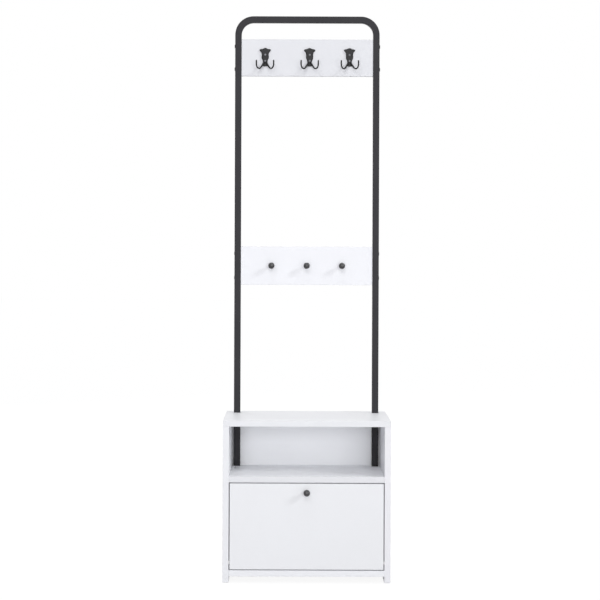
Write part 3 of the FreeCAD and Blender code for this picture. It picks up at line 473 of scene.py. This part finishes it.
# screws and bolts: out is the way the heads face, as an axis and a sign, and None follows the side in X
heads = {
    "upper_board_bolts": {"out": (0, None), "height": 2 * mm, "width": 12 * mm, "thread": 5.9 * mm,
                          "drive": "hex", "recess": 2.3 * mm, "deep": 1.4 * mm,
                          "slot": "frame_steel", "finish": "castBlack"},
    "lower_board_bolts": {"out": (0, None), "height": 1.2 * mm, "width": 12 * mm, "thread": 5.9 * mm,
                          "drive": "hex", "recess": 2.3 * mm, "deep": 0.9 * mm,
                          "slot": "frame_steel", "finish": "castBlack"},
    "connector_screws": {"out": (0, None), "height": 2.5 * mm, "width": 10 * mm, "thread": 4.9 * mm,
                         "drive": "hex", "recess": 2.3 * mm, "deep": 2.0 * mm,
                         "slot": "zinc_steel", "finish": "zincPlate"},
    "hook_screws": {"out": (1, -1), "height": 2 * mm, "width": 7 * mm, "thread": 3.4 * mm,
                    "drive": "cross", "recess": 1.9 * mm, "deep": 1.3 * mm,
                    "slot": "hook_metal", "finish": "blackZinc"},
    "peg_screws": {"out": (1, 1), "height": 2.4 * mm, "width": 8 * mm, "thread": 3.9 * mm,
                   "drive": "cross", "recess": 2.2 * mm, "deep": 1.5 * mm,
                   "slot": "zinc_steel", "finish": "zincPlate"},
    "upright_screws": {"out": (1, 1), "height": 3 * mm, "width": 10 * mm, "thread": 4.9 * mm,
                       "drive": "cross", "recess": 2.6 * mm, "deep": 1.8 * mm,
                       "slot": "zinc_steel", "finish": "zincPlate"},
    "wall_bracket_screws": {"out": (2, -1), "height": 1.8 * mm, "width": 7 * mm, "thread": 3.4 * mm,
                            "drive": "cross", "recess": 1.9 * mm, "deep": 1.2 * mm,
                            "slot": "zinc_steel", "finish": "zincPlate"},
    "bin_screws": {"out": (0, None), "height": 2 * mm, "width": 7.6 * mm, "thread": 3.9 * mm,
                   "drive": "cross", "recess": 2.1 * mm, "deep": 1.4 * mm,
                   "slot": "zinc_steel", "finish": "zincPlate"},
}
bodyOf = {name: body for body, names in frame["record"]["behaviour"]["bodies"].items() for name in names}
for node, head in heads.items():
    bm = bmesh.new()
    for low, high in islands(node):
        axis, sign = head["out"]
        middle = (low + high) / 2
        if sign is None:
            sign = math.copysign(1, middle[axis])
        out = Vector((0, 0, 0))
        out[axis] = sign
        tip = high[axis] if sign > 0 else low[axis]
        seat = middle.copy()
        seat[axis] = tip - sign * head["height"]
        screwHead(bm, seat, out, head)
        shankBar(bm, seat, -out, head["thread"], high[axis] - low[axis] - head["height"])
    finishPiece(bm, node + "_turned", bodyOf[node], node, finishes[head["finish"]], smooth=False)
print("screws and bolts made")


# flareSteps: how far out from the neck, at which share of the flare's height
ball = {"steps": 48, "arc": 18, "width": 20 * mm, "neck": 9 * mm, "neckGap": 0.4 * mm, "foot": 14 * mm,
        "footHeight": 1.5 * mm, "footEdge": 0.3 * mm, "flare": 3 * mm,
        "flareSteps": ((0, 1), (0.5 * mm, 0.45), (1.4 * mm, 0.12))}


def ballKnob(name, node, body):
    low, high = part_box(node)
    reach = high.y - low.y
    radius = ball["width"] / 2
    middle = Vector(((low.x + high.x) / 2, high.y, (low.z + high.z) / 2))
    centre = Vector((0, 0, reach - radius))
    waist = math.asin(ball["neck"] / ball["width"])
    bm = bmesh.new()
    tip = bm.verts.new((0, 0, reach))
    bmesh.ops.spin(bm, geom=[tip], cent=centre, axis=(0, 1, 0), angle=math.pi - waist, steps=ball["arc"])
    last = min(bm.verts, key=lambda v: v.co.z)
    neck, foot, footHigh = ball["neck"] / 2, ball["foot"] / 2, ball["footHeight"]
    profile = [(neck, last.co.z - ball["neckGap"])]
    profile += [(neck + outward, footHigh + ball["flare"] * share) for outward, share in ball["flareSteps"]]
    profile += [(foot - ball["footEdge"], footHigh), (foot, footHigh - ball["footEdge"]), (foot, 0), (0, 0)]
    for across, height in profile:
        last = bmesh.ops.extrude_vert_indiv(bm, verts=[last])["verts"][0]
        last.co = Vector((across, 0, height))
    bmesh.ops.spin(bm, geom=list(bm.verts) + list(bm.edges), cent=(0, 0, 0), axis=(0, 0, 1),
                   angle=2 * math.pi, steps=ball["steps"], use_merge=True)
    bmesh.ops.rotate(bm, verts=bm.verts, matrix=facing((0, -1, 0)))
    bmesh.ops.translate(bm, verts=bm.verts, vec=middle)
    finishPiece(bm, name, body, node, finishes["glossBlack"])


for side in ("left", "middle", "right"):
    ballKnob(side + "_peg_turned", side + "_peg", "cabinet")
ballKnob("door_knob_turned", "door_knob", "bin")
print("knobs made")


hook = {
    "thick": 5 * mm, "belly": 1.3 * mm, "topMiddle": 58 * mm,
    "bellySteps": ((0.9 * mm, 0.55), (1.6 * mm, 0.45)),  # inset, and its share of the belly
    "reach": 43 * mm, "splay": math.radians(38.5), "sides": 16, "arm": 2.3 * mm, "root": 3.6 * mm,
    "rootOut": 3 * mm, "rootSteps": 2, "bowl": 12.5 * mm, "bowlTurn": math.radians(135), "bowlSteps": 14,
    "low": -9 * mm, "tip": 14.5 * mm, "tipWidth": 0.35, "tipHigh": 0.93,
    "tipSteps": ((0.13, 1.9), (0.3, 1.32), (0.5, 1.14)),  # drop as a share of the arm, and growth
    # half of the plate's outline, across and up in millimetres
    "half": ((5.4, 0.2), (9.4, 2.6), (7.2, 8), (7.0, 18), (11.0, 24.0), (11.6, 30), (10.9, 37), (11.4, 42),
             (14.2, 45.6), (16.9, 48.0), (17.6, 48.9), (17.6, 52.4), (16.6, 53.2), (12.5, 54.2), (7.2, 54.6),
             (3.4, 57.4)),
}


def hookPlate(bm):
    part = bmesh.new()
    rim = [part.verts.new((0, 0, 0))]
    for across, height in hook["half"]:
        rim.append(part.verts.new((across * mm, 0, height * mm)))
    rim.append(part.verts.new((0, 0, hook["topMiddle"])))
    for first, second in zip(rim, rim[1:]):
        part.edges.new((first, second))
    bmesh.ops.mirror(part, geom=list(part.verts) + list(part.edges), axis="X",
                     merge_dist=mergeGap["new"])
    bmesh.ops.remove_doubles(part, verts=part.verts, dist=mergeGap["new"])
    face = bmesh.ops.contextual_create(part, geom=list(part.edges))["faces"]
    out = bmesh.ops.extrude_face_region(part, geom=face)["geom"]
    front = [g for g in out if isinstance(g, bmesh.types.BMFace)]
    bmesh.ops.translate(part, verts=[g for g in out if isinstance(g, bmesh.types.BMVert)],
                        vec=(0, -hook["thick"] + hook["belly"], 0))
    for inset, share in hook["bellySteps"]:
        bmesh.ops.inset_region(part, faces=front, thickness=inset)
        bmesh.ops.translate(part, verts=list({v for f in front for v in f.verts}),
                            vec=(0, -hook["belly"] * share, 0))
    bmesh.ops.triangulate(part, faces=[f for f in part.faces if len(f.verts) > 4])
    joinInto(bm, part)


def hookArm(bm, side):
    # from the tip down, round the bowl and up to the plate, drawn in the XZ plane and turned to its splay
    part = bmesh.new()
    bowlHigh = hook["bowl"] + hook["low"]
    loop = ringOf(part, hook["arm"] * hook["tipWidth"], hook["tip"] + hook["arm"] * hook["tipHigh"],
                  hook["sides"])
    bmesh.ops.contextual_create(part, geom=loop)
    for drop, growth in hook["tipSteps"]:
        loop = drawOut(part, loop, -drop * hook["arm"], growth)
    loop = drawOut(part, loop, -(hook["tip"] - bowlHigh) / 2)
    loop = drawOut(part, loop, bowlHigh - max(v.co.z for e in loop for v in e.verts))
    verts = list({v for e in loop for v in e.verts})
    spun = bmesh.ops.spin(part, geom=verts + loop, cent=(-hook["bowl"], 0, bowlHigh), axis=(0, 1, 0),
                          angle=hook["bowlTurn"], steps=hook["bowlSteps"])["geom_last"]
    loop = [g for g in spun if isinstance(g, bmesh.types.BMEdge)]
    verts = [g for g in spun if isinstance(g, bmesh.types.BMVert)]
    middle = sum((v.co for v in verts), Vector()) / len(verts)
    run = hook["reach"] - hook["rootOut"] + middle.x
    step = Vector((-run, 0, run)) / hook["rootSteps"]
    grow = (hook["root"] / hook["arm"]) ** (1 / hook["rootSteps"])
    for _ in range(hook["rootSteps"]):
        made = bmesh.ops.extrude_edge_only(part, edges=loop)["geom"]
        verts = [g for g in made if isinstance(g, bmesh.types.BMVert)]
        loop = [g for g in made if isinstance(g, bmesh.types.BMEdge)]
        bmesh.ops.translate(part, verts=verts, vec=step)
        middle = middle + step
        bmesh.ops.scale(part, verts=verts, vec=(grow, grow, grow), space=Matrix.Translation(-middle))
    bmesh.ops.contextual_create(part, geom=loop)
    bmesh.ops.translate(part, verts=part.verts, vec=(hook["reach"], 0, 0))
    turn = -math.pi / 2 + side * hook["splay"]
    bmesh.ops.rotate(part, verts=part.verts, matrix=Matrix.Rotation(turn, 3, "Z"))
    joinInto(bm, part)


for side in ("left", "middle", "right"):
    low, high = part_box(side + "_hook")
    bm = bmesh.new()
    hookPlate(bm)
    for turnSide in (-1, 1):
        hookArm(bm, turnSide)
    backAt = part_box("upper_board")[0].y
    bmesh.ops.translate(bm, verts=bm.verts, vec=((low.x + high.x) / 2, backAt, high.z - hook["topMiddle"]))
    finishPiece(bm, side + "_hook_cast", "cabinet", side + "_hook", finishes["castBlack"],
                subdivide=2)
print("hooks made")


brokenEdges = {"segments": 2, "flat": math.radians(1), "sharp": math.radians(40)}
# new name, slot, finish, and how wide its sharp edges are broken
smallHardware = {
    "wall_bracket": ("wall_bracket_bent", "zinc_steel", "zincPlate", 0.35 * mm),
    "corner_brackets": ("corner_brackets_bent", "zinc_steel", "zincPlate", 0.3 * mm),
    "cam_locks": ("cam_locks_cast", "zinc_steel", "zincPlate", 0.3 * mm),
    "floor_glides": ("floor_glides_moulded", "nylon", "whiteNylon", 0.4 * mm),
    "bracket_screws": ("bracket_screws_turned", "zinc_steel", "zincPlate", 0.4 * mm),
}


def softened(name, node, finish, width):
    # the CAD piece's own shape, with its sharp edges broken
    bm = bmesh.new()
    bm.from_mesh(nodes[node].data)
    bmesh.ops.remove_doubles(bm, verts=bm.verts, dist=mergeGap["cad"])
    bmesh.ops.dissolve_limit(bm, angle_limit=brokenEdges["flat"], verts=bm.verts, edges=bm.edges)
    sharp = [e for e in bm.edges if len(e.link_faces) == 2 and e.calc_face_angle() > brokenEdges["sharp"]]
    bmesh.ops.bevel(bm, geom=sharp, offset=width, offset_type="OFFSET", affect="EDGES",
                    segments=brokenEdges["segments"], profile=0.5, material=-1, clamp_overlap=True)
    finishPiece(bm, name, bodyOf[node], node, finishes[finish], smooth=False)


for node, (name, slot, finish, width) in smallHardware.items():
    softened(name, node, finish, width)
print("small hardware made")


studio = {"span": 30.0, "floorRoughness": 0.8, "floorTone": tone(190, 190, 192), "floorGlow": 1.16,
          "shadowShare": 0.22, "worldTone": (1, 1, 1, 1), "worldLight": 0.28, "aim": (0, 0, 0.75)}
suns = {"keySun": {"from": (1.9, -1.0, 1.1), "light": 0.8, "size": math.radians(9)},
        "skySun": {"from": (0.0, -0.05, 1.0), "light": 0.9, "size": math.radians(50)}}
softboxes = {"frontBox": {"place": (0.5, -4.9, 1.0), "wide": 4.2, "high": 1.7, "light": 92.0},
              "highBox": {"place": (-0.4, -3.3, 3.0), "wide": 2.6, "high": 1.2, "light": 36.0},
             "rearBox": {"place": (-3.2, 4.2, 1.3), "wide": 2.4, "high": 2.0, "light": 110.0}}


def seenByEye(tree):
    # one for rays from the camera, off a gloss or through glass, and none for the light that falls on pieces
    path = tree.nodes.new("ShaderNodeLightPath")
    direct = calc(tree, "MAXIMUM", path.outputs["Is Camera Ray"], path.outputs["Is Glossy Ray"])
    return calc(tree, "MAXIMUM", direct, path.outputs["Is Transmission Ray"])


def floorFinish():
    material = bpy.data.materials.new("paleFloor")
    material.use_nodes = True
    tree = material.node_tree
    shader = tree.nodes["Principled BSDF"]
    shader.inputs["Base Color"].default_value = studio["floorTone"]
    shader.inputs["Roughness"].default_value = studio["floorRoughness"]
    glow = addNode(tree, "ShaderNodeEmission", Color=(1, 1, 1, 1), Strength=studio["floorGlow"])
    mix = tree.nodes.new("ShaderNodeMixShader")
    tree.links.new(calc(tree, "MULTIPLY", seenByEye(tree), 1 - studio["shadowShare"]), mix.inputs[0])
    tree.links.new(shader.outputs[0], mix.inputs[1])
    tree.links.new(glow.outputs[0], mix.inputs[2])
    tree.links.new(mix.outputs[0], tree.nodes["Material Output"].inputs["Surface"])
    return material


bm = bmesh.new()
bmesh.ops.create_grid(bm, x_segments=1, y_segments=1, size=studio["span"])
floorMesh = bpy.data.meshes.new("floor")
bm.to_mesh(floorMesh)
bm.free()
floor = bpy.data.objects.new("floor", floorMesh)
bpy.context.scene.collection.objects.link(floor)
floorMesh.materials.append(floorFinish())

world = bpy.data.worlds.new("studio")
bpy.context.scene.world = world
world.use_nodes = True
tree = world.node_tree
tree.nodes.clear()
softLight = addNode(tree, "ShaderNodeBackground", Color=studio["worldTone"], Strength=studio["worldLight"])
whiteBack = addNode(tree, "ShaderNodeBackground", Color=(1, 1, 1, 1), Strength=1.0)
mix = tree.nodes.new("ShaderNodeMixShader")
tree.links.new(seenByEye(tree), mix.inputs[0])
tree.links.new(softLight.outputs[0], mix.inputs[1])
tree.links.new(whiteBack.outputs[0], mix.inputs[2])
tree.links.new(mix.outputs[0], tree.nodes.new("ShaderNodeOutputWorld").inputs["Surface"])


def hangLamp(name, kind, light, place, towards):
    data = bpy.data.lights.new(name, kind)
    data.energy = light
    lamp = bpy.data.objects.new(name, data)
    lamp.location = place
    lamp.rotation_mode = "QUATERNION"
    lamp.rotation_quaternion = (Vector(place) - Vector(towards)).to_track_quat("Z", "Y")
    bpy.context.scene.collection.objects.link(lamp)
    return data


for name, sun in suns.items():
    hangLamp(name, "SUN", sun["light"], sun["from"], (0, 0, 0)).angle = sun["size"]
for name, panel in softboxes.items():
    data = hangLamp(name, "AREA", panel["light"], panel["place"], studio["aim"])
    data.shape = "RECTANGLE"
    data.size, data.size_y = panel["wide"], panel["high"]

eye = {"place": (-0.0557, -4.779, 0.967), "lens": 93.64, "sensor": 36.0, "shift": (0.0186, -0.0692),
       "roll": -0.0037, "far": 100}
cameraData = bpy.data.cameras.new("eye")
cameraData.lens = eye["lens"]
cameraData.sensor_width = eye["sensor"]
cameraData.shift_x, cameraData.shift_y = eye["shift"]
cameraData.clip_end = eye["far"]
camera = bpy.data.objects.new("eye", cameraData)
camera.location = eye["place"]
camera.rotation_euler = (math.pi / 2, eye["roll"], 0)
bpy.context.scene.collection.objects.link(camera)
bpy.context.scene.camera = camera
bpy.context.scene.view_settings.view_transform = "Standard"
print("studio made")
